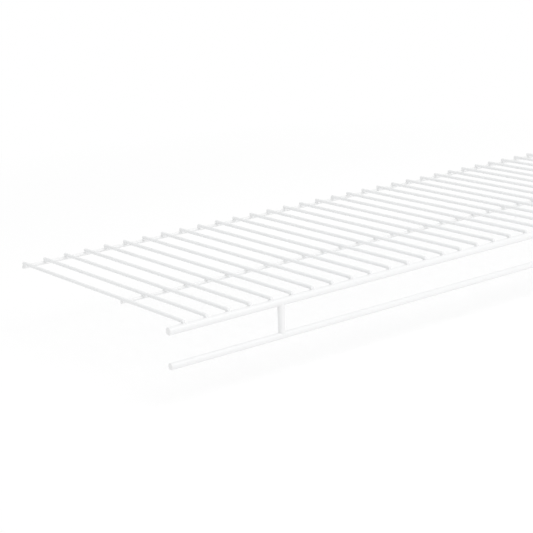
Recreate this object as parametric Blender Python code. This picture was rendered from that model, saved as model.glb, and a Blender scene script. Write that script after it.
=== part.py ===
"""White wire shelf with a hanging rod, of coated steel wires welded across three rails.

The shelf's own frame is in metres: X runs along the shelf, Y from the front to the wall
and Z up. The origin is the middle of the back rail's axis, where wall clips hold it.
"""

import math

import bmesh
import bpy
from mathutils import Matrix

# Overall sizes
SHELF_LENGTH = 1.2192
SHELF_DEPTH = 0.3048

# Wire and rod stock, measured over the coating
DECK_WIRE_DIAMETER = 0.0038
FRONT_RAIL_DIAMETER = 0.0079
MIDDLE_RAIL_DIAMETER = 0.0034
BACK_RAIL_DIAMETER = 0.0038
HANGING_ROD_DIAMETER = 0.0070
STRUT_DIAMETER = 0.0070

# Places of the pieces
DECK_WIRE_COUNT = 47
DECK_WIRE_END_INSET = 0.0175
DECK_WIRE_FRONT_OVERRUN = 0.0017
DECK_WIRE_BACK_OVERRUN = 0.0004
MIDDLE_RAIL_SETBACK = 0.1056
MIDDLE_RAIL_OVERRUN = 0.0005
BACK_RAIL_OVERRUN = 0.0018
HANGER_GAP = 0.0267
STRUT_COUNT = 3
STRUT_END_INSET = 0.1325

# Play left at each weld, so that the pieces stay separate solids
WELD_CLEARANCE = 0.0003

# Rounding of the cut ends under the coating
RAIL_END_ROUNDING = 0.0006
WIRE_END_ROUNDING = 0.0006

# Facets round each bar and across each rounded edge
RAIL_SIDES = 24
WIRE_SIDES = 12
RAIL_ROUNDING_STEPS = 2
WIRE_ROUNDING_STEPS = 2

# Colour and gloss of the coating on each kind of piece
DECK_COLOUR = (0.86, 0.87, 0.875)
RAIL_COLOUR = (0.90, 0.905, 0.905)
ROD_COLOUR = (0.89, 0.895, 0.90)
STRUT_COLOUR = (0.87, 0.88, 0.885)
DECK_ROUGHNESS = 0.38
RAIL_ROUGHNESS = 0.32

# Radii
DECK_WIRE_RADIUS = DECK_WIRE_DIAMETER / 2
FRONT_RAIL_RADIUS = FRONT_RAIL_DIAMETER / 2
MIDDLE_RAIL_RADIUS = MIDDLE_RAIL_DIAMETER / 2
BACK_RAIL_RADIUS = BACK_RAIL_DIAMETER / 2
HANGING_ROD_RADIUS = HANGING_ROD_DIAMETER / 2
STRUT_RADIUS = STRUT_DIAMETER / 2

# Front to back, from the back rail's axis
FRONT_RAIL_Y = BACK_RAIL_RADIUS + FRONT_RAIL_RADIUS - SHELF_DEPTH
MIDDLE_RAIL_Y = FRONT_RAIL_Y + MIDDLE_RAIL_SETBACK
DECK_WIRE_FRONT_Y = FRONT_RAIL_Y - DECK_WIRE_FRONT_OVERRUN
DECK_WIRE_BACK_Y = DECK_WIRE_BACK_OVERRUN

# Heights: the deck wires lie on all three rails, and the rod hangs under the front rail
DECK_WIRE_Z = BACK_RAIL_RADIUS + WELD_CLEARANCE + DECK_WIRE_RADIUS
UNDER_DECK_Z = DECK_WIRE_Z - DECK_WIRE_RADIUS - WELD_CLEARANCE
FRONT_RAIL_Z = UNDER_DECK_Z - FRONT_RAIL_RADIUS
MIDDLE_RAIL_Z = UNDER_DECK_Z - MIDDLE_RAIL_RADIUS
HANGING_ROD_Z = FRONT_RAIL_Z - FRONT_RAIL_RADIUS - HANGER_GAP - HANGING_ROD_RADIUS

# Along the shelf
FIRST_DECK_WIRE_X = DECK_WIRE_END_INSET - SHELF_LENGTH / 2
FIRST_STRUT_X = STRUT_END_INSET - SHELF_LENGTH / 2
DECK_LENGTH = -2 * FIRST_DECK_WIRE_X
DECK_WIRE_LENGTH = DECK_WIRE_BACK_Y - DECK_WIRE_FRONT_Y
BACK_RAIL_LENGTH = DECK_LENGTH + 2 * BACK_RAIL_OVERRUN
MIDDLE_RAIL_LENGTH = DECK_LENGTH + 2 * MIDDLE_RAIL_OVERRUN

# A bar is made standing along Z and is laid down along X or Y
ALONG_X = Matrix.Rotation(math.radians(90), 4, "Y")
ALONG_Y = Matrix.Rotation(math.radians(-90), 4, "X")
UPRIGHT = Matrix.Identity(4)


def clear_scene():
    """Take away whatever the file held before."""
    for item in list(bpy.data.objects):
        bpy.data.objects.remove(item, do_unlink=True)


def coat_material(name, colour, roughness):
    """Baked white powder coating, which covers the steel all over."""
    material = bpy.data.materials.new(name)
    material.use_nodes = True
    material.diffuse_color = (*colour, 1)
    shader = material.node_tree.nodes["Principled BSDF"]
    shader.inputs["Base Color"].default_value = (*colour, 1)
    shader.inputs["Roughness"].default_value = roughness
    shader.inputs["Metallic"].default_value = 0
    return material


def round_bar(name, radius, length, sides, rounding=0, steps=0):
    """Mesh of a bar along Z, centred on the origin, with its cut edges rounded over."""
    mesh = bpy.data.meshes.new(name)
    bar = bmesh.new()
    bmesh.ops.create_cone(bar, cap_ends=True, segments=sides, radius1=radius, radius2=radius, depth=length)
    if rounding > 0:
        rims = [edge for edge in bar.edges if edge.verts[0].co.z * edge.verts[1].co.z > 0]
        width = min(rounding, radius / 2, length / 4)
        bmesh.ops.bevel(bar, geom=rims, offset=width, segments=steps, profile=0.5, affect="EDGES")
    bar.to_mesh(mesh)
    bar.free()
    mesh.shade_smooth()
    mesh.set_sharp_from_angle(angle=math.radians(50))
    return mesh


def place(name, mesh, parent, x, y, z, turn):
    """Put one piece into the scene, centred on a point and turned from upright."""
    piece = bpy.data.objects.new(name, mesh)
    bpy.context.scene.collection.objects.link(piece)
    piece.matrix_world = Matrix.Translation((x, y, z)) @ turn
    piece.parent = parent
    return piece


def evenly_spaced(first, count):
    """Places along X from the first one to its mirror image across the shelf's middle."""
    if count == 1:
        return [0]
    step = -2 * first / (count - 1)
    return [first + step * index for index in range(count)]


def build_deck(shelf):
    """Thin wires from front to back, lying side by side on the rails."""
    mesh = round_bar(
        "deck_wire", DECK_WIRE_RADIUS, DECK_WIRE_LENGTH, WIRE_SIDES, WIRE_END_ROUNDING, WIRE_ROUNDING_STEPS
    )
    mesh.materials.append(coat_material("deck_wire_coat", DECK_COLOUR, DECK_ROUGHNESS))
    middle_y = (DECK_WIRE_FRONT_Y + DECK_WIRE_BACK_Y) / 2
    for number, x in enumerate(evenly_spaced(FIRST_DECK_WIRE_X, DECK_WIRE_COUNT), start=1):
        place(f"deck_wire_{number:02d}", mesh, shelf, x, middle_y, DECK_WIRE_Z, ALONG_Y)


def build_bar(shelf, name, radius, length, y, z, colour):
    """A rail or the hanging rod: one straight bar along the shelf."""
    mesh = round_bar(name, radius, length, RAIL_SIDES, RAIL_END_ROUNDING, RAIL_ROUNDING_STEPS)
    mesh.materials.append(coat_material(f"{name}_coat", colour, RAIL_ROUGHNESS))
    place(name, mesh, shelf, 0, y, z, ALONG_X)


def build_cutter(shelf, name, radius, z):
    """Hidden bar, a weld's play larger than a rail, that shapes the ends of the struts."""
    mesh = round_bar(name, radius + WELD_CLEARANCE, SHELF_LENGTH, RAIL_SIDES)
    cutter = place(name, mesh, shelf, 0, FRONT_RAIL_Y, z, ALONG_X)
    cutter.hide_render = True
    cutter.display_type = "WIRE"
    return cutter


def build_struts(shelf):
    """Short uprights between the front rail and the rod, with saddle-shaped ends."""
    cutters = (
        build_cutter(shelf, "front_rail_cutter", FRONT_RAIL_RADIUS, FRONT_RAIL_Z),
        build_cutter(shelf, "hanging_rod_cutter", HANGING_ROD_RADIUS, HANGING_ROD_Z),
    )
    mesh = round_bar("rod_strut", STRUT_RADIUS, FRONT_RAIL_Z - HANGING_ROD_Z, RAIL_SIDES)
    mesh.materials.append(coat_material("rod_strut_coat", STRUT_COLOUR, RAIL_ROUGHNESS))
    middle_z = (FRONT_RAIL_Z + HANGING_ROD_Z) / 2
    for number, x in enumerate(evenly_spaced(FIRST_STRUT_X, STRUT_COUNT), start=1):
        strut = place(f"rod_strut_{number}", mesh, shelf, x, FRONT_RAIL_Y, middle_z, UPRIGHT)
        for cutter in cutters:
            saddle = strut.modifiers.new(cutter.name, "BOOLEAN")
            saddle.operation = "DIFFERENCE"
            saddle.solver = "EXACT"
            saddle.object = cutter


def main():
    clear_scene()
    shelf = bpy.data.objects.new("wire_shelf", None)
    bpy.context.scene.collection.objects.link(shelf)
    build_deck(shelf)
    bars = (
        ("front_rail", FRONT_RAIL_RADIUS, SHELF_LENGTH, FRONT_RAIL_Y, FRONT_RAIL_Z, RAIL_COLOUR),
        ("middle_rail", MIDDLE_RAIL_RADIUS, MIDDLE_RAIL_LENGTH, MIDDLE_RAIL_Y, MIDDLE_RAIL_Z, RAIL_COLOUR),
        ("back_rail", BACK_RAIL_RADIUS, BACK_RAIL_LENGTH, 0, 0, RAIL_COLOUR),
        ("hanging_rod", HANGING_ROD_RADIUS, SHELF_LENGTH, FRONT_RAIL_Y, HANGING_ROD_Z, ROD_COLOUR),
    )
    for bar in bars:
        build_bar(shelf, *bar)
    build_struts(shelf)


main()
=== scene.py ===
"""Looks of a white wire shelf with a hanging rod: its coated bars, their welds and the studio.

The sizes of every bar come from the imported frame. What is made here is the finish: domed
and rounded cut ends, the weld saddle at each crossing, flared struts and the powder coat.
"""

import math

import bmesh
import bpy
from bpy.props import FloatProperty, FloatVectorProperty, IntProperty, PointerProperty
from bpy.types import Operator, Panel, PropertyGroup
from mathutils import Matrix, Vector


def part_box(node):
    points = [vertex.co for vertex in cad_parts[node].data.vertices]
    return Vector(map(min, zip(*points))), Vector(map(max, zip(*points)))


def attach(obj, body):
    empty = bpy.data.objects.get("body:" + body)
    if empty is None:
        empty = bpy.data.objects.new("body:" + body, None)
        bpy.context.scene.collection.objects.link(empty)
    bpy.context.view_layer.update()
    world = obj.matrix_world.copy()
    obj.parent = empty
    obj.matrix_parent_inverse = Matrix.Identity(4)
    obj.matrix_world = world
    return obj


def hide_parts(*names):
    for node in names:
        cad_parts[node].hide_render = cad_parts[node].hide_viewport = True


bl_info = {
    "name": "Wire Shelf with Hanging Rod",
    "version": (1, 0, 0),
    "blender": (4, 5, 0),
    "location": "3D View > Sidebar > Wire Shelf",
    "description": "Builds the coated bars, welds and studio of a wire shelf",
    "category": "Object",
}

# The body that every piece rides on
BODY = "root"

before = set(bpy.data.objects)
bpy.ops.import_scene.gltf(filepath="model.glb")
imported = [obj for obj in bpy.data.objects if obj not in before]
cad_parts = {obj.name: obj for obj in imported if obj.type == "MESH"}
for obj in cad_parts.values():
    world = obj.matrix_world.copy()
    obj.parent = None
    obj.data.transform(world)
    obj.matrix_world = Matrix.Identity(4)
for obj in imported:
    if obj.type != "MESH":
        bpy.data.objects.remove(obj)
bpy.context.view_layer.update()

DECK_WIRES = sorted(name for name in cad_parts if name.startswith("deck_wire"))
STRUTS = sorted(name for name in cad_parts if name.startswith("rod_strut"))


class Bar:
    """Middle, ends and radius of a straight round bar of the frame, read from its box."""

    def __init__(self, node):
        low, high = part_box(node)
        size = high - low
        along = max(range(3), key=lambda axis: size[axis])
        self.middle = (low + high) / 2
        self.start = self.middle.copy()
        self.end = self.middle.copy()
        self.start[along] = low[along]
        self.end[along] = high[along]
        self.radius = sorted(size)[1] / 2


FRONT_RAIL = Bar("front_rail")
MIDDLE_RAIL = Bar("middle_rail")
BACK_RAIL = Bar("back_rail")
HANGING_ROD = Bar("hanging_rod")
FIRST_WIRE = Bar(DECK_WIRES[0])
LAST_WIRE = Bar(DECK_WIRES[-1])


class WIRESHELF_PG_coat(PropertyGroup):
    """Powder coat baked onto the steel."""

    # The coat's white on the deck wires, a touch darker than on the rails as painted shade on the wires'
    # shaded sides
    deck_colour_with_shade: FloatVectorProperty(
        name="Deck colour", description="Coat on the deck wires",
        subtype="COLOR", size=3, min=0, max=1, default=(0.872, 0.88, 0.884),
    )
    rail_colour: FloatVectorProperty(
        name="Rail colour", description="Coat on the rails, the hanging rod, its struts and the welds",
        subtype="COLOR", size=3, min=0, max=1, default=(0.882, 0.885, 0.887),
    )
    tone_variation: FloatProperty(
        name="Tone variation", description="How much darker the thinnest patches of the coat are",
        subtype="FACTOR", min=0, max=1, default=0.03,
    )
    deck_roughness: FloatProperty(
        name="Deck roughness", description="Roughness of the coat on the deck wires",
        subtype="FACTOR", min=0, max=1, default=0.38,
    )
    rail_roughness: FloatProperty(
        name="Rail roughness", description="Roughness of the coat on the rails and the rod",
        subtype="FACTOR", min=0, max=1, default=0.32,
    )
    roughness_variation: FloatProperty(
        name="Roughness variation", description="How far the roughness strays up and down",
        subtype="FACTOR", min=0, max=1, default=0.06,
    )
    cloud_size: FloatProperty(
        name="Cloud size", description="Distance between the patches where the coat is thin and thick",
        unit="LENGTH", min=0, default=0.07,
    )
    speck_size: FloatProperty(
        name="Speck size", description="Distance between the fine specks in the coat",
        unit="LENGTH", min=0, default=0.0011,
    )
    peel_size: FloatProperty(
        name="Orange peel size", description="Distance between the low swells that melted powder leaves",
        unit="LENGTH", min=0, default=0.0022,
    )
    peel_height: FloatProperty(
        name="Orange peel height", description="Height of those swells",
        unit="LENGTH", min=0, default=0.0000015,
    )


class WIRESHELF_PG_bars(PropertyGroup):
    """Shape of the bars' cut ends and how finely they are made."""

    wire_rounding: FloatProperty(
        name="Wire edge", description="Radius of the coated edge round a deck wire's cut end",
        unit="LENGTH", min=0, default=0.0006,
    )
    rail_rounding: FloatProperty(
        name="Rail edge", description="Radius of the coated edge round a rail's cut end",
        unit="LENGTH", min=0, default=0.0007,
    )
    crown: FloatProperty(
        name="Crown", description="How far the coat swells out in the middle of a cut end",
        unit="LENGTH", min=0, default=0.00012,
    )
    wire_sides: IntProperty(
        name="Wire sides", description="Facets round a deck wire", min=8, default=20,
    )
    rail_sides: IntProperty(
        name="Rail sides", description="Facets round a rail, the rod or a strut", min=8, default=48,
    )


class WIRESHELF_PG_welds(PropertyGroup):
    """Spread of the welds under their coat."""

    rail_reach: FloatProperty(
        name="Reach on rail", description="How far a weld runs out along the rail from the wire's middle",
        unit="LENGTH", min=0, default=0.0032,
    )
    wire_reach: FloatProperty(
        name="Reach on wire", description="How far a weld runs out along the wire from the rail's middle",
        unit="LENGTH", min=0, default=0.0027,
    )
    leg: FloatProperty(
        name="Leg", description="How much further than its top the foot of a weld runs out along the wire",
        unit="LENGTH", min=0, default=0.0005,
    )
    rail_wrap: FloatProperty(
        name="Wrap on rail", description="How far a weld reaches round the rail, as a share of its radius",
        subtype="FACTOR", min=0, max=0.95, default=0.85,
    )
    wire_wrap: FloatProperty(
        name="Wrap on wire", description="How far a weld reaches round the wire, as a share of its radius",
        subtype="FACTOR", min=0, max=0.95, default=0.75,
    )
    fullness: FloatProperty(
        name="Fullness", description="From a weld that hugs the corner, at 0, to one with straight flanks",
        subtype="FACTOR", min=0, max=1, default=0.6,
    )
    strut_leg: FloatProperty(
        name="Strut leg", description="Size of the weld bead round each end of a strut",
        unit="LENGTH", min=0, default=0.0004,
    )
    sink: FloatProperty(
        name="Sink", description="How deep a weld's rim lies inside the bar, so that no gap shows",
        unit="LENGTH", min=0, default=0.0001,
    )


class WIRESHELF_PG_studio(PropertyGroup):
    """Camera, floor, white room and lamp."""

    camera_place: FloatVectorProperty(
        name="Camera place", description="Where the camera stands",
        subtype="TRANSLATION", size=3, default=(-1.31508, -1.36790, 0.40011),
    )
    camera_heading: FloatProperty(
        name="Heading", description="How far the camera turns to the right of straight at the wall",
        subtype="ANGLE", default=math.radians(37.58),
    )
    camera_tilt: FloatProperty(
        name="Tilt", description="How far the camera looks down",
        subtype="ANGLE", default=math.radians(15.09),
    )
    camera_roll: FloatProperty(
        name="Roll", description="How far the camera leans clockwise",
        subtype="ANGLE", default=math.radians(-2.45),
    )
    camera_lens: FloatProperty(
        name="Lens", description="Focal length on a sensor 36 mm wide, in millimetres",
        min=1, default=98.7,
    )
    floor_drop: FloatProperty(
        name="Floor drop", description="Height of the hanging rod above the floor",
        unit="LENGTH", min=0, default=0.04,
    )
    floor_radius: FloatProperty(
        name="Floor radius", description="How far the floor reaches in every direction",
        unit="LENGTH", min=1, default=14.0,
    )
    floor_tone: FloatProperty(
        name="Floor tone", description="How much of the light that falls on the floor it gives back",
        subtype="FACTOR", min=0, max=1, default=0.97,
    )
    floor_glow: FloatProperty(
        name="Floor glow", description="How much lighter the floor looks than it is lit",
        min=0, default=0.036,
    )
    haze_start: FloatProperty(
        name="Haze start", description="Distance at which the floor starts to melt into the white room",
        unit="LENGTH", min=0, default=0.25,
    )
    haze_end: FloatProperty(
        name="Haze end", description="Distance at which the floor has melted into the white room",
        unit="LENGTH", min=0, default=1.0,
    )
    horizon_light: FloatProperty(
        name="Horizon light", description="Light that comes level from the walls of the white room",
        min=0, default=0.77,
    )
    overhead_light: FloatProperty(
        name="Overhead light", description="Light that comes straight down from its ceiling",
        min=0, default=0.90,
    )
    lamp_place: FloatVectorProperty(
        name="Lamp place", description="Where the soft lamp high in front of the shelf stands",
        subtype="TRANSLATION", size=3, default=(0.17, -2.07, 2.3),
    )
    lamp_size: FloatProperty(
        name="Lamp size", description="Side of that lamp", unit="LENGTH", min=0, default=2.2,
    )
    lamp_power: FloatProperty(
        name="Lamp power", description="Power of that lamp, in watts", min=0, default=25.0,
    )


def feed(tree, socket, value):
    """Set a socket to a plain value, or link it to another node's output."""
    if isinstance(value, bpy.types.NodeSocket):
        tree.links.new(value, socket)
    else:
        socket.default_value = value


def calculate(tree, operation, *values, clamp=False):
    """Result of one Math node."""
    node = tree.nodes.new("ShaderNodeMath")
    node.operation = operation
    node.use_clamp = clamp
    for socket, value in zip(node.inputs, values):
        feed(tree, socket, value)
    return node.outputs[0]


def combine(tree, x, y, z):
    """Vector of three numbers."""
    node = tree.nodes.new("ShaderNodeCombineXYZ")
    for socket, value in zip(node.inputs, (x, y, z)):
        feed(tree, socket, value)
    return node.outputs[0]


def blend_vectors(tree, factor, first, second):
    """Vector part of the way from the first one to the second."""
    node = tree.nodes.new("ShaderNodeMix")
    node.data_type = "VECTOR"
    vector_sockets = [socket for socket in node.inputs if socket.type == "VECTOR" and socket.enabled]
    feed(tree, node.inputs["Factor"], factor)
    for socket, value in zip(vector_sockets, (first, second)):
        feed(tree, socket, value)
    return next(socket for socket in node.outputs if socket.type == "VECTOR")


def add_node(tree, kind, **inputs):
    """New node with its named inputs fed; an underscore in a name stands for a space."""
    node = tree.nodes.new(kind)
    for name, value in inputs.items():
        feed(tree, node.inputs[name.replace("_", " ")], value)
    return node


def start_tree(name, kind, inputs, outputs):
    """Empty node group, the values it is given and the results it hands on.

    inputs and outputs name each socket and say what it carries.
    """
    tree = bpy.data.node_groups.new(name, kind)
    for in_out, sockets in (("INPUT", inputs), ("OUTPUT", outputs)):
        for label, carries in sockets.items():
            tree.interface.new_socket(name=label, in_out=in_out, socket_type=f"NodeSocket{carries}")
    given = tree.nodes.new("NodeGroupInput").outputs
    result = tree.nodes.new("NodeGroupOutput").inputs
    return tree, given, result


def mesh_from_tree(tree, values):
    """Plain mesh that a geometry tree makes when its inputs have these values."""
    seed = bpy.data.objects.new(tree.name, bpy.data.meshes.new(tree.name))
    bpy.context.scene.collection.objects.link(seed)
    modifier = seed.modifiers.new(tree.name, "NODES")
    modifier.node_group = tree
    for item in tree.interface.items_tree:
        if item.in_out == "INPUT":
            modifier[item.identifier] = values[item.name]
    graph = bpy.context.evaluated_depsgraph_get()
    mesh = bpy.data.meshes.new_from_object(seed.evaluated_get(graph))
    bpy.data.objects.remove(seed)
    return mesh


def add_piece(name, mesh, nodes=()):
    """Add a finished piece that rides the shelf and stands for its CAD nodes, if it has any."""
    mesh.name = name
    piece = bpy.data.objects.new(name, mesh)
    bpy.context.scene.collection.objects.link(piece)
    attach(piece, BODY)
    if nodes:
        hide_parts(*nodes)


# Rings of points across each cut face and round its edge
FACE_RINGS = 3
EDGE_RINGS = 4

# Points closer than this become one, where a ring has shrunk to the bar's axis
MERGE_DISTANCE = 1e-6


def rounded_bar_tree():
    """Geometry group: a round bar from Start to End whose cut ends are domed and rounded.

    The bar's line has a few points crowded at each end. Step by step they go from the
    middle of the cut face out to its edge, then round the edge to the full radius.
    """
    name = "Rounded Bar"
    if name in bpy.data.node_groups:
        return bpy.data.node_groups[name]
    tree, given, result = start_tree(
        name,
        "GeometryNodeTree",
        inputs={
            "Start": "Vector", "End": "Vector",
            "Radius": "Float", "Rounding": "Float", "Crown": "Float", "Sides": "Int",
        },
        outputs={"Mesh": "Geometry"},
    )
    rings_each_end = FACE_RINGS + EDGE_RINGS + 1
    last_point = 2 * rings_each_end - 1
    line = add_node(tree, "GeometryNodeCurvePrimitiveLine", Start=given["Start"], End=given["End"])
    points = add_node(tree, "GeometryNodeResampleCurve", Curve=line.outputs[0], Count=2 * rings_each_end)

    number = add_node(tree, "GeometryNodeInputIndex").outputs[0]
    from_end = calculate(tree, "SUBTRACT", last_point, number)
    ring = calculate(tree, "MINIMUM", number, from_end)
    across_face = calculate(tree, "DIVIDE", ring, FACE_RINGS, clamp=True)
    past_face = calculate(tree, "SUBTRACT", ring, FACE_RINGS)
    round_edge = calculate(tree, "DIVIDE", past_face, EDGE_RINGS, clamp=True)
    turn = calculate(tree, "MULTIPLY", round_edge, math.pi / 2)

    face_radius = calculate(tree, "SUBTRACT", given["Radius"], given["Rounding"])
    ring_radius = calculate(
        tree, "ADD",
        calculate(tree, "MULTIPLY", across_face, face_radius),
        calculate(tree, "MULTIPLY", calculate(tree, "SINE", turn), given["Rounding"]),
    )
    dome = calculate(tree, "MULTIPLY", calculate(tree, "POWER", across_face, 2), given["Crown"])
    edge = calculate(
        tree, "MULTIPLY",
        calculate(tree, "SUBTRACT", 1, calculate(tree, "COSINE", turn)),
        given["Rounding"],
    )
    inset = calculate(tree, "ADD", dome, edge)

    span = tree.nodes.new("ShaderNodeVectorMath")
    span.operation = "DISTANCE"
    feed(tree, span.inputs[0], given["Start"])
    feed(tree, span.inputs[1], given["End"])
    share = calculate(tree, "DIVIDE", inset, span.outputs["Value"])
    far_half = calculate(tree, "GREATER_THAN", number, from_end)
    flipped = calculate(tree, "ABSOLUTE", calculate(tree, "SUBTRACT", far_half, share))
    place = blend_vectors(tree, flipped, given["Start"], given["End"])
    moved = add_node(tree, "GeometryNodeSetPosition", Geometry=points.outputs[0], Position=place)

    outline = add_node(tree, "GeometryNodeCurvePrimitiveCircle", Resolution=given["Sides"], Radius=1)
    swept = add_node(
        tree, "GeometryNodeCurveToMesh",
        Curve=moved.outputs[0], Profile_Curve=outline.outputs["Curve"], Scale=ring_radius,
    )
    closed = add_node(
        tree, "GeometryNodeMergeByDistance",
        Geometry=swept.outputs[0], Distance=MERGE_DISTANCE,
    )
    feed(tree, result["Mesh"], closed.outputs[0])
    return tree


def add_rounded_bar(tree, given, start, end):
    """Rounded bar placed in another tree, with that tree's own sizes."""
    bar = tree.nodes.new("GeometryNodeGroup")
    bar.node_tree = rounded_bar_tree()
    feed(tree, bar.inputs["Start"], start)
    feed(tree, bar.inputs["End"], end)
    for name in ("Radius", "Rounding", "Crown", "Sides"):
        feed(tree, bar.inputs[name], given[name])
    return bar.outputs["Mesh"]


def finish_tree(tree, given, result, geometry):
    """Last nodes of a piece's tree: real geometry, in its material."""
    real = add_node(tree, "GeometryNodeRealizeInstances", Geometry=geometry)
    coated = add_node(tree, "GeometryNodeSetMaterial", Geometry=real.outputs[0], Material=given["Material"])
    feed(tree, result["Mesh"], coated.outputs[0])


def row_of_copies(tree, given, geometry):
    """Copies of a geometry, evenly spaced along X from First X to Last X."""
    gaps = calculate(tree, "SUBTRACT", given["Count"], 1)
    pitch = calculate(tree, "DIVIDE", calculate(tree, "SUBTRACT", given["Last X"], given["First X"]), gaps)
    places = add_node(
        tree, "GeometryNodeMeshLine",
        Count=given["Count"],
        Start_Location=combine(tree, given["First X"], 0, 0),
        Offset=combine(tree, pitch, 0, 0),
    )
    copies = add_node(tree, "GeometryNodeInstanceOnPoints", Points=places.outputs[0], Instance=geometry)
    return copies.outputs[0]


# Most of its own radius that the rounding of a thin rail's end may take up
ROUNDING_SHARE = 0.35


def end_rounding(bars, bar):
    """Radius of the edge round the cut end of a rail or rod, smaller on a thin one."""
    return min(bars.rail_rounding, bar.radius * ROUNDING_SHARE)


def single_bar_tree():
    """Geometry tree of one rail or rod."""
    tree, given, result = start_tree(
        "Single Bar",
        "GeometryNodeTree",
        inputs={
            "Start": "Vector", "End": "Vector",
            "Radius": "Float", "Rounding": "Float", "Crown": "Float", "Sides": "Int",
            "Material": "Material",
        },
        outputs={"Mesh": "Geometry"},
    )
    bar = add_rounded_bar(tree, given, given["Start"], given["End"])
    finish_tree(tree, given, result, bar)
    return tree


def wire_row_tree():
    """Geometry tree of the deck: one wire from front to back, repeated along the shelf."""
    tree, given, result = start_tree(
        "Wire Row",
        "GeometryNodeTree",
        inputs={
            "Count": "Int", "First X": "Float", "Last X": "Float",
            "Front Y": "Float", "Back Y": "Float", "Height": "Float",
            "Radius": "Float", "Rounding": "Float", "Crown": "Float", "Sides": "Int",
            "Material": "Material",
        },
        outputs={"Mesh": "Geometry"},
    )
    start = combine(tree, 0, given["Front Y"], given["Height"])
    end = combine(tree, 0, given["Back Y"], given["Height"])
    wire = add_rounded_bar(tree, given, start, end)
    finish_tree(tree, given, result, row_of_copies(tree, given, wire))
    return tree


# Facets round each weld, and steps from its foot to its top
SADDLE_SIDES = 16
SADDLE_RINGS = 4


def round_height(tree, radius, offset):
    """Height of a circle's edge above its centre, at this offset from its middle."""
    radius_squared = calculate(tree, "POWER", radius, 2)
    offset_squared = calculate(tree, "POWER", offset, 2)
    squared = calculate(tree, "SUBTRACT", radius_squared, offset_squared)
    return calculate(tree, "SQRT", calculate(tree, "MAXIMUM", squared, 0))


def held_within(tree, value, limit):
    """Value that goes no further than the limit on either side of zero."""
    held = calculate(tree, "MINIMUM", value, limit)
    return calculate(tree, "MAXIMUM", held, calculate(tree, "MULTIPLY", limit, -1))


def kept_on_rail(tree, given, geometry):
    """Geometry whose points past an end of the rail are moved back along X to that end."""
    real = add_node(tree, "GeometryNodeRealizeInstances", Geometry=geometry)
    position = add_node(tree, "GeometryNodeInputPosition").outputs[0]
    x, y, z = add_node(tree, "ShaderNodeSeparateXYZ", Vector=position).outputs
    x = calculate(tree, "MAXIMUM", x, given["Rail Start X"])
    x = calculate(tree, "MINIMUM", x, given["Rail End X"])
    place = combine(tree, x, y, z)
    moved = add_node(tree, "GeometryNodeSetPosition", Geometry=real.outputs[0], Position=place)
    return moved.outputs[0]


def saddle_row_tree():
    """Geometry tree of the welds on one rail: a saddle under each wire, hollowed like a fillet.

    Every saddle is a short tube. Its foot is an oval on the rail, its top an oval on the
    underside of the wire, and each line from foot to top is an arc that sags inwards.
    """
    tree, given, result = start_tree(
        "Weld Saddles",
        "GeometryNodeTree",
        inputs={
            "Count": "Int", "First X": "Float", "Last X": "Float",
            "Rail Start X": "Float", "Rail End X": "Float",
            "Rail Y": "Float", "Rail Z": "Float", "Rail Radius": "Float",
            "Wire Z": "Float", "Wire Radius": "Float",
            "Foot Offset": "Float", "Foot Along Rail": "Float", "Foot Along Wire": "Float",
            "Top Offset": "Float", "Top Along Rail": "Float", "Top Along Wire": "Float",
            "Fullness": "Float", "Material": "Material",
        },
        outputs={"Mesh": "Geometry"},
    )
    # A tube one unit high round the origin, so that rise goes from 0 at its foot to 1 at its top
    tube = add_node(
        tree, "GeometryNodeMeshCylinder",
        Vertices=SADDLE_SIDES, Side_Segments=SADDLE_RINGS, Radius=1, Depth=1,
    )
    position = add_node(tree, "GeometryNodeInputPosition").outputs[0]
    to_side, to_back, level = add_node(tree, "ShaderNodeSeparateXYZ", Vector=position).outputs
    rise = calculate(tree, "ADD", level, 0.5)

    foot_x = calculate(tree, "MULTIPLY", to_side, given["Foot Along Rail"])
    foot_y = calculate(tree, "MULTIPLY_ADD", to_back, given["Foot Along Wire"], given["Foot Offset"])
    foot_z = calculate(tree, "ADD", round_height(tree, given["Rail Radius"], foot_y), given["Rail Z"])
    foot = combine(tree, foot_x, calculate(tree, "ADD", foot_y, given["Rail Y"]), foot_z)

    top_x = calculate(tree, "MULTIPLY", to_side, given["Top Along Rail"])
    top_y = calculate(tree, "MULTIPLY_ADD", to_back, given["Top Along Wire"], given["Top Offset"])
    top_z = calculate(tree, "SUBTRACT", given["Wire Z"], round_height(tree, given["Wire Radius"], top_x))
    top = combine(tree, top_x, calculate(tree, "ADD", top_y, given["Rail Y"]), top_z)

    # The arc sags towards the inner corner of rail and wire, never further out than its foot
    corner_y = held_within(tree, top_y, calculate(tree, "ABSOLUTE", foot_y))
    rail_top = calculate(tree, "ADD", round_height(tree, given["Rail Radius"], corner_y), given["Rail Z"])
    corner_z = calculate(
        tree, "ADD",
        calculate(tree, "MULTIPLY", rail_top, calculate(tree, "POWER", to_side, 2)),
        calculate(tree, "MULTIPLY", top_z, calculate(tree, "POWER", to_back, 2)),
    )
    corner = combine(tree, top_x, calculate(tree, "ADD", corner_y, given["Rail Y"]), corner_z)
    straight = blend_vectors(tree, 0.5, foot, top)
    waist = blend_vectors(tree, given["Fullness"], corner, straight)

    lower = blend_vectors(tree, rise, foot, waist)
    upper = blend_vectors(tree, rise, waist, top)
    place = blend_vectors(tree, rise, lower, upper)
    shaped = add_node(tree, "GeometryNodeSetPosition", Geometry=tube.outputs["Mesh"], Position=place)
    smooth = add_node(
        tree, "GeometryNodeSetShadeSmooth", Geometry=shaped.outputs[0], Selection=tube.outputs["Side"],
    )
    row = row_of_copies(tree, given, smooth.outputs[0])
    finish_tree(tree, given, result, kept_on_rail(tree, given, row))
    return tree


# Steps from the foot of a strut's bead to the strut's own wall
FLARE_STEPS = 5

# How far round a bar a bead may reach, as a share of the bar's radius
WIDEST_SHARE = 0.97


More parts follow.
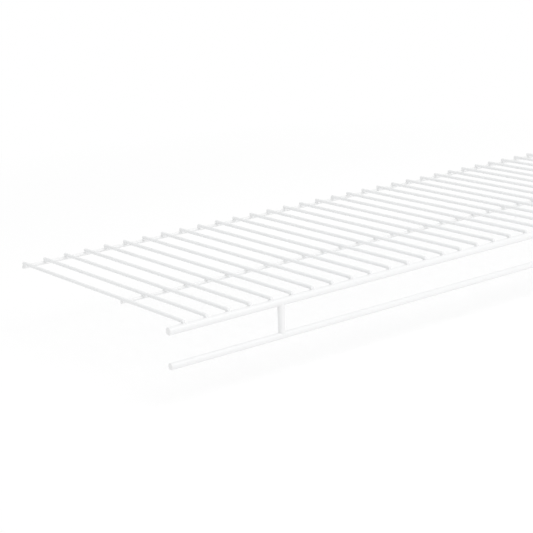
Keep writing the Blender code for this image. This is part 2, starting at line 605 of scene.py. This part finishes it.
def flare_rings(strut, bar, leg, sink):
    """Rings of a strut's flared end, from the bar that it meets to the strut's own wall.

    Each ring is its half-width along X, its half-width along Y and how far it stands off the bar.
    """
    foot_x = strut.radius + leg
    foot_y = min(foot_x, bar.radius * WIDEST_SHARE)
    rings = []
    for step in range(FLARE_STEPS + 1):
        climbed = step / FLARE_STEPS
        spread = (1 - climbed) ** 2
        half_x = strut.radius + (foot_x - strut.radius) * spread
        half_y = strut.radius + (foot_y - strut.radius) * spread
        rings.append((half_x, half_y, climbed ** 2 * leg - sink * (1 - climbed)))
    return rings


def add_ring(mesh, strut, bar, end, ring, sides):
    """Vertices of one ring round a strut, draped over the round of the bar.

    end is 1 at the strut's top, under its bar, and -1 at its foot, on top of its bar.
    """
    half_x, half_y, off_bar = ring
    vertices = []
    for number in range(sides):
        angle = 2 * math.pi * number / sides
        x = half_x * math.cos(angle)
        y = half_y * math.sin(angle)
        reach = min(abs(y), bar.radius * WIDEST_SHARE)
        surface = math.sqrt(bar.radius ** 2 - reach ** 2)
        z = bar.middle.z - end * (surface + off_bar)
        vertices.append(mesh.verts.new((strut.middle.x + x, strut.middle.y + y, z)))
    return vertices


def add_strut(mesh, node, leg, sink, sides):
    """Upright between the front rail and the rod, flared into a weld bead at both ends."""
    strut = Bar(node)
    low_rings = flare_rings(strut, HANGING_ROD, leg, sink)
    high_rings = flare_rings(strut, FRONT_RAIL, leg, sink)
    loops = [add_ring(mesh, strut, HANGING_ROD, -1, ring, sides) for ring in low_rings]
    loops += [add_ring(mesh, strut, FRONT_RAIL, 1, ring, sides) for ring in reversed(high_rings)]
    for below, above in zip(loops, loops[1:]):
        for number in range(sides):
            beside = (number + 1) % sides
            wall = mesh.faces.new((below[number], below[beside], above[beside], above[number]))
            wall.smooth = True
    # Both ends close in a point on the bar's axis, out of sight inside the bar
    for loop, bar, turned in ((loops[0], HANGING_ROD, True), (loops[-1], FRONT_RAIL, False)):
        hub = mesh.verts.new((strut.middle.x, strut.middle.y, bar.middle.z))
        for number in range(sides):
            edge = (loop[number], loop[(number + 1) % sides])
            mesh.faces.new((edge[1], edge[0], hub) if turned else (edge[0], edge[1], hub))


# How much finer detail each noise carries, and how strongly it shows
CLOUD_NOISE = {"Detail": 3, "Roughness": 0.6}
SPECK_NOISE = {"Detail": 2, "Roughness": 0.7}
PEEL_NOISE = {"Detail": 1.5, "Roughness": 0.4}

# What a noise gives on average
NOISE_MIDDLE = 0.5

# Shares of the clouds and the specks in the coat's tone
CLOUD_SHARE = 0.7
SPECK_SHARE = 0.3

# Refractive index of the baked resin
RESIN_IOR = 1.5

WHITE = (1, 1, 1, 1)


def noise(tree, place, size, detail):
    """Noise whose patches lie this far apart."""
    scale = calculate(tree, "DIVIDE", 1, size)
    return add_node(tree, "ShaderNodeTexNoise", Vector=place, Scale=scale, **detail).outputs[0]


def powder_coat_group():
    """Shader group of baked powder: clouds and specks of tone, uneven gloss and low orange peel."""
    name = "Powder Coat"
    if name in bpy.data.node_groups:
        return bpy.data.node_groups[name]
    tree, given, result = start_tree(
        name,
        "ShaderNodeTree",
        inputs={
            "Colour": "Color", "Tone Variation": "Float",
            "Roughness": "Float", "Roughness Variation": "Float",
            "Cloud Size": "Float", "Speck Size": "Float",
            "Peel Size": "Float", "Peel Height": "Float",
        },
        outputs={"Colour": "Color", "Roughness": "Float", "Height": "Float"},
    )
    place = tree.nodes.new("ShaderNodeTexCoord").outputs["Object"]
    clouds = noise(tree, place, given["Cloud Size"], CLOUD_NOISE)
    specks = noise(tree, place, given["Speck Size"], SPECK_NOISE)
    peel = noise(tree, place, given["Peel Size"], PEEL_NOISE)

    thin = calculate(
        tree, "ADD",
        calculate(tree, "MULTIPLY", clouds, CLOUD_SHARE),
        calculate(tree, "MULTIPLY", specks, SPECK_SHARE),
    )
    darker = calculate(tree, "SUBTRACT", 1, calculate(tree, "MULTIPLY", thin, given["Tone Variation"]))
    tint = tree.nodes.new("ShaderNodeVectorMath")
    tint.operation = "SCALE"
    feed(tree, tint.inputs[0], given["Colour"])
    feed(tree, tint.inputs["Scale"], darker)
    feed(tree, result["Colour"], tint.outputs[0])

    stray = calculate(tree, "SUBTRACT", clouds, NOISE_MIDDLE)
    uneven = calculate(tree, "MULTIPLY_ADD", stray, given["Roughness Variation"], given["Roughness"])
    feed(tree, result["Roughness"], uneven)

    feed(tree, result["Height"], calculate(tree, "MULTIPLY", peel, given["Peel Height"]))
    return tree


def coat_material(name, colour, roughness):
    """White powder coat in this colour and gloss."""
    if name in bpy.data.materials:
        return bpy.data.materials[name]
    coat = bpy.context.scene.wire_shelf_coat
    material = bpy.data.materials.new(name)
    material.use_nodes = True
    material.diffuse_color = (*colour, 1)
    tree = material.node_tree
    shader = tree.nodes["Principled BSDF"]
    powder = tree.nodes.new("ShaderNodeGroup")
    powder.node_tree = powder_coat_group()
    values = {
        "Colour": (*colour, 1),
        "Tone Variation": coat.tone_variation,
        "Roughness": roughness,
        "Roughness Variation": coat.roughness_variation,
        "Cloud Size": coat.cloud_size,
        "Speck Size": coat.speck_size,
        "Peel Size": coat.peel_size,
        "Peel Height": coat.peel_height,
    }
    for label, value in values.items():
        feed(tree, powder.inputs[label], value)
    relief = add_node(tree, "ShaderNodeBump", Strength=1, Distance=1, Height=powder.outputs["Height"])
    feed(tree, shader.inputs["Base Color"], powder.outputs["Colour"])
    feed(tree, shader.inputs["Roughness"], powder.outputs["Roughness"])
    feed(tree, shader.inputs["Normal"], relief.outputs[0])
    feed(tree, shader.inputs["IOR"], RESIN_IOR)
    return material


def deck_coat():
    """Finish of the deck wires, whose white is set a touch darker than the rails' as painted shade."""
    coat = bpy.context.scene.wire_shelf_coat
    return coat_material("deck_powder_coat", coat.deck_colour_with_shade, coat.deck_roughness)


def rail_coat():
    """Finish of the rails, the hanging rod, the struts and the welds."""
    coat = bpy.context.scene.wire_shelf_coat
    return coat_material("rail_powder_coat", coat.rail_colour, coat.rail_roughness)


def seen_directly(tree):
    """1 for a ray that shows a background: from the camera, in a gloss or through glass."""
    path = tree.nodes.new("ShaderNodeLightPath").outputs
    mirrored = calculate(tree, "MAXIMUM", path["Is Glossy Ray"], path["Is Transmission Ray"])
    return calculate(tree, "MAXIMUM", path["Is Camera Ray"], mirrored)


def white_room(studio):
    """World that looks white and lights the shelf softly, a little more from overhead than level."""
    world = bpy.data.worlds.new("white_room")
    world.use_nodes = True
    tree = world.node_tree
    background = tree.nodes["Background"]
    feed(tree, background.inputs["Color"], WHITE)
    direction = tree.nodes.new("ShaderNodeTexCoord").outputs["Generated"]
    height = add_node(tree, "ShaderNodeSeparateXYZ", Vector=direction).outputs["Z"]
    upward = calculate(tree, "MAXIMUM", height, 0)
    overhead_extra = studio.overhead_light - studio.horizon_light
    light = calculate(tree, "MULTIPLY_ADD", upward, overhead_extra, studio.horizon_light)
    strength = calculate(tree, "MAXIMUM", light, seen_directly(tree))
    feed(tree, background.inputs["Strength"], strength)
    return world


def mix_shaders(tree, factor, first, second):
    """Shader part of the way from the first one to the second."""
    mix = tree.nodes.new("ShaderNodeMixShader")
    for socket, value in zip(mix.inputs, (factor, first.outputs[0], second.outputs[0])):
        feed(tree, socket, value)
    return mix


def floor_material(studio):
    """White floor that keeps the shelf's shadow near it and melts into the room far away."""
    material = bpy.data.materials.new("white_floor")
    material.use_nodes = True
    tree = material.node_tree
    shader = tree.nodes["Principled BSDF"]
    feed(tree, shader.inputs["Base Color"], (studio.floor_tone, studio.floor_tone, studio.floor_tone, 1))
    feed(tree, shader.inputs["Roughness"], 1)
    feed(tree, shader.inputs["Specular IOR Level"], 0)
    shown = seen_directly(tree)
    feed(tree, shader.inputs["Emission Color"], WHITE)
    feed(tree, shader.inputs["Emission Strength"], calculate(tree, "MULTIPLY", shown, studio.floor_glow))

    distance = tree.nodes.new("ShaderNodeVectorMath")
    distance.operation = "LENGTH"
    feed(tree, distance.inputs[0], tree.nodes.new("ShaderNodeTexCoord").outputs["Object"])
    far = tree.nodes.new("ShaderNodeMapRange")
    feed(tree, far.inputs["Value"], distance.outputs["Value"])
    feed(tree, far.inputs["From Min"], studio.haze_start)
    feed(tree, far.inputs["From Max"], studio.haze_end)
    haze = calculate(tree, "MULTIPLY", far.outputs[0], shown)
    white = add_node(tree, "ShaderNodeEmission", Color=WHITE, Strength=1)
    clear = tree.nodes.new("ShaderNodeBsdfTransparent")
    below = tree.nodes.new("ShaderNodeNewGeometry").outputs["Backfacing"]
    melted = mix_shaders(tree, haze, shader, white)
    one_sided = mix_shaders(tree, below, melted, clear)
    feed(tree, tree.nodes["Material Output"].inputs["Surface"], one_sided.outputs[0])
    return material


# Facets round the edge of the floor
FLOOR_SIDES = 64

# Width of the camera's sensor, in millimetres
SENSOR_WIDTH = 36


def add_floor(studio):
    """Round white floor under the shelf, seen from above only."""
    height = HANGING_ROD.middle.z - HANGING_ROD.radius - studio.floor_drop
    mesh = bpy.data.meshes.new("studio_floor")
    disc = bmesh.new()
    bmesh.ops.create_circle(disc, cap_ends=True, segments=FLOOR_SIDES, radius=studio.floor_radius)
    disc.transform(Matrix.Translation((0, 0, height)))
    disc.to_mesh(mesh)
    disc.free()
    mesh.materials.append(floor_material(studio))
    floor = bpy.data.objects.new("studio_floor", mesh)
    bpy.context.scene.collection.objects.link(floor)


def add_lamp(studio):
    """Square soft lamp that shines at the middle of the deck and isn't seen itself."""
    light = bpy.data.lights.new("studio_lamp", "AREA")
    light.shape = "SQUARE"
    light.size = studio.lamp_size
    light.energy = studio.lamp_power
    lamp = bpy.data.objects.new("studio_lamp", light)
    bpy.context.scene.collection.objects.link(lamp)
    aim = (FRONT_RAIL.middle + BACK_RAIL.middle) / 2 - studio.lamp_place
    turn = aim.to_track_quat("-Z", "Y").to_matrix().to_4x4()
    lamp.matrix_world = Matrix.Translation(studio.lamp_place) @ turn
    lamp.visible_camera = False


def add_camera(studio):
    """Camera at the photograph's viewing angle."""
    camera = bpy.data.objects.new("studio_camera", bpy.data.cameras.new("studio_camera"))
    bpy.context.scene.collection.objects.link(camera)
    camera.data.sensor_width = SENSOR_WIDTH
    camera.data.lens = studio.camera_lens
    camera.matrix_world = (
        Matrix.Translation(studio.camera_place)
        @ Matrix.Rotation(-studio.camera_heading, 4, "Z")
        @ Matrix.Rotation(math.pi / 2 - studio.camera_tilt, 4, "X")
        @ Matrix.Rotation(studio.camera_roll, 4, "Z")
    )
    bpy.context.scene.camera = camera


class WIRESHELF_OT_deck(Operator):
    """Lay the thin deck wires side by side across the rails"""

    bl_idname = "wire_shelf.deck"
    bl_label = "Deck Wires"

    def execute(self, context):
        bars = context.scene.wire_shelf_bars
        values = {
            "Count": len(DECK_WIRES),
            "First X": FIRST_WIRE.middle.x,
            "Last X": LAST_WIRE.middle.x,
            "Front Y": FIRST_WIRE.start.y,
            "Back Y": FIRST_WIRE.end.y,
            "Height": FIRST_WIRE.middle.z,
            "Radius": FIRST_WIRE.radius,
            "Rounding": bars.wire_rounding,
            "Crown": bars.crown,
            "Sides": bars.wire_sides,
            "Material": deck_coat(),
        }
        add_piece("deck_wires", mesh_from_tree(wire_row_tree(), values), DECK_WIRES)
        return {"FINISHED"}


class WIRESHELF_OT_rails(Operator):
    """Make the front, middle and back rails and the hanging rod"""

    bl_idname = "wire_shelf.rails"
    bl_label = "Rails and Rod"

    def execute(self, context):
        bars = context.scene.wire_shelf_bars
        tree = single_bar_tree()
        rails = {
            "front_rail": FRONT_RAIL,
            "middle_rail": MIDDLE_RAIL,
            "back_rail": BACK_RAIL,
            "hanging_rod": HANGING_ROD,
        }
        for node, bar in rails.items():
            values = {
                "Start": bar.start,
                "End": bar.end,
                "Radius": bar.radius,
                "Rounding": end_rounding(bars, bar),
                "Crown": bars.crown,
                "Sides": bars.rail_sides,
                "Material": rail_coat(),
            }
            add_piece(f"{node}_coated", mesh_from_tree(tree, values), [node])
        return {"FINISHED"}


class WIRESHELF_OT_struts(Operator):
    """Make the uprights that carry the hanging rod"""

    bl_idname = "wire_shelf.struts"
    bl_label = "Rod Struts"

    def execute(self, context):
        welds = context.scene.wire_shelf_welds
        sides = context.scene.wire_shelf_bars.rail_sides
        mesh = bpy.data.meshes.new("rod_struts")
        uprights = bmesh.new()
        for node in STRUTS:
            add_strut(uprights, node, welds.strut_leg, welds.sink, sides)
        uprights.to_mesh(mesh)
        uprights.free()
        mesh.materials.append(rail_coat())
        add_piece("rod_struts", mesh, STRUTS)
        return {"FINISHED"}


class WIRESHELF_OT_welds(Operator):
    """Fill each crossing of wire and rail with its weld"""

    bl_idname = "wire_shelf.welds"
    bl_label = "Deck Welds"

    def execute(self, context):
        tree = saddle_row_tree()
        rails = {"front_rail": FRONT_RAIL, "middle_rail": MIDDLE_RAIL, "back_rail": BACK_RAIL}
        for node, rail in rails.items():
            values = self.sizes(context.scene, rail)
            add_piece(f"{node}_welds", mesh_from_tree(tree, values))
        return {"FINISHED"}

    @staticmethod
    def sizes(scene, rail):
        """Sizes of the welds on one rail, which stop short of each bar's rounded end."""
        bars = scene.wire_shelf_bars
        welds = scene.wire_shelf_welds
        wire_margin = bars.wire_rounding / 2
        rail_margin = end_rounding(bars, rail) / 2
        front = max(-welds.wire_reach, FIRST_WIRE.start.y + wire_margin - rail.middle.y)
        back = min(welds.wire_reach, FIRST_WIRE.end.y - wire_margin - rail.middle.y)
        widest = rail.radius * welds.rail_wrap
        foot_front = max(front - welds.leg, -widest)
        foot_back = min(back + welds.leg, widest)
        return {
            "Count": len(DECK_WIRES),
            "First X": FIRST_WIRE.middle.x,
            "Last X": LAST_WIRE.middle.x,
            "Rail Start X": rail.start.x + rail_margin,
            "Rail End X": rail.end.x - rail_margin,
            "Rail Y": rail.middle.y,
            "Rail Z": rail.middle.z,
            "Rail Radius": rail.radius - welds.sink,
            "Wire Z": FIRST_WIRE.middle.z,
            "Wire Radius": FIRST_WIRE.radius - welds.sink,
            "Foot Offset": (foot_front + foot_back) / 2,
            "Foot Along Rail": welds.rail_reach,
            "Foot Along Wire": (foot_back - foot_front) / 2,
            "Top Offset": (front + back) / 2,
            "Top Along Rail": FIRST_WIRE.radius * welds.wire_wrap,
            "Top Along Wire": (back - front) / 2,
            "Fullness": welds.fullness,
            "Material": rail_coat(),
        }


class WIRESHELF_OT_studio(Operator):
    """Set up the white floor, the white room, the soft lamp and the camera"""

    bl_idname = "wire_shelf.studio"
    bl_label = "Studio"

    def execute(self, context):
        studio = context.scene.wire_shelf_studio
        context.scene.view_settings.view_transform = "Standard"
        context.scene.world = white_room(studio)
        add_floor(studio)
        add_lamp(studio)
        add_camera(studio)
        return {"FINISHED"}


class WIRESHELF_PT_sidebar(Panel):
    """Steps and sizes of the wire shelf"""

    bl_idname = "WIRESHELF_PT_sidebar"
    bl_label = "Wire Shelf"
    bl_space_type = "VIEW_3D"
    bl_region_type = "UI"
    bl_category = "Wire Shelf"

    def draw(self, context):
        for operator in OPERATORS:
            self.layout.operator(operator.bl_idname)
        for name in SETTINGS:
            group = getattr(context.scene, name)
            box = self.layout.box()
            for key in group.__annotations__:
                box.prop(group, key)


SETTINGS = {
    "wire_shelf_coat": WIRESHELF_PG_coat,
    "wire_shelf_bars": WIRESHELF_PG_bars,
    "wire_shelf_welds": WIRESHELF_PG_welds,
    "wire_shelf_studio": WIRESHELF_PG_studio,
}
OPERATORS = (
    WIRESHELF_OT_deck,
    WIRESHELF_OT_rails,
    WIRESHELF_OT_struts,
    WIRESHELF_OT_welds,
    WIRESHELF_OT_studio,
)


def register():
    for settings in SETTINGS.values():
        bpy.utils.register_class(settings)
    for name, settings in SETTINGS.items():
        setattr(bpy.types.Scene, name, PointerProperty(type=settings))
    for item in (*OPERATORS, WIRESHELF_PT_sidebar):
        bpy.utils.register_class(item)


def unregister():
    for item in (WIRESHELF_PT_sidebar, *reversed(OPERATORS)):
        bpy.utils.unregister_class(item)
    for name in SETTINGS:
        delattr(bpy.types.Scene, name)
    for settings in SETTINGS.values():
        bpy.utils.unregister_class(settings)


def main():
    register()
    bpy.ops.wire_shelf.deck()
    bpy.ops.wire_shelf.rails()
    bpy.ops.wire_shelf.struts()
    bpy.ops.wire_shelf.welds()
    bpy.ops.wire_shelf.studio()


if __name__ == "__main__":
    main()
